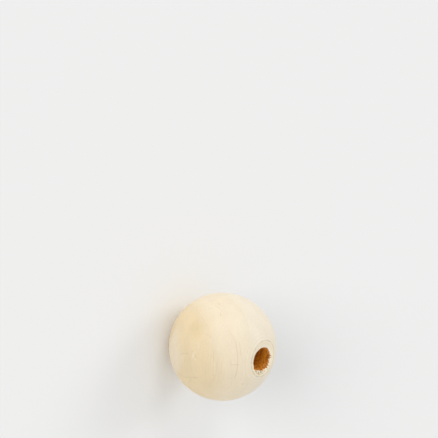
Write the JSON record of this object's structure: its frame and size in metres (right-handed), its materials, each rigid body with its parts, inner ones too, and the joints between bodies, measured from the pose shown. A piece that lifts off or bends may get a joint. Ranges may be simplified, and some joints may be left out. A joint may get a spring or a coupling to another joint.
{
  "type": "wooden bead",
  "caption": "Round turned wooden bead with a drilled cord hole right through it and a flat ring around each mouth to stand on.",
  "frame": {"origin": "centre of the bead, on the bore's axis halfway between its two ends", "axes": "+Z along the bore's axis; the bead stands on its lower end ring, and X and Y are alike"},
  "size_m": [0.025, 0.025, 0.0236],
  "materials": {
    "raw_wood": "satin"
  },
  "bodies": {
    "root": {"bead": "raw_wood"}
  },
  "joints": []
}
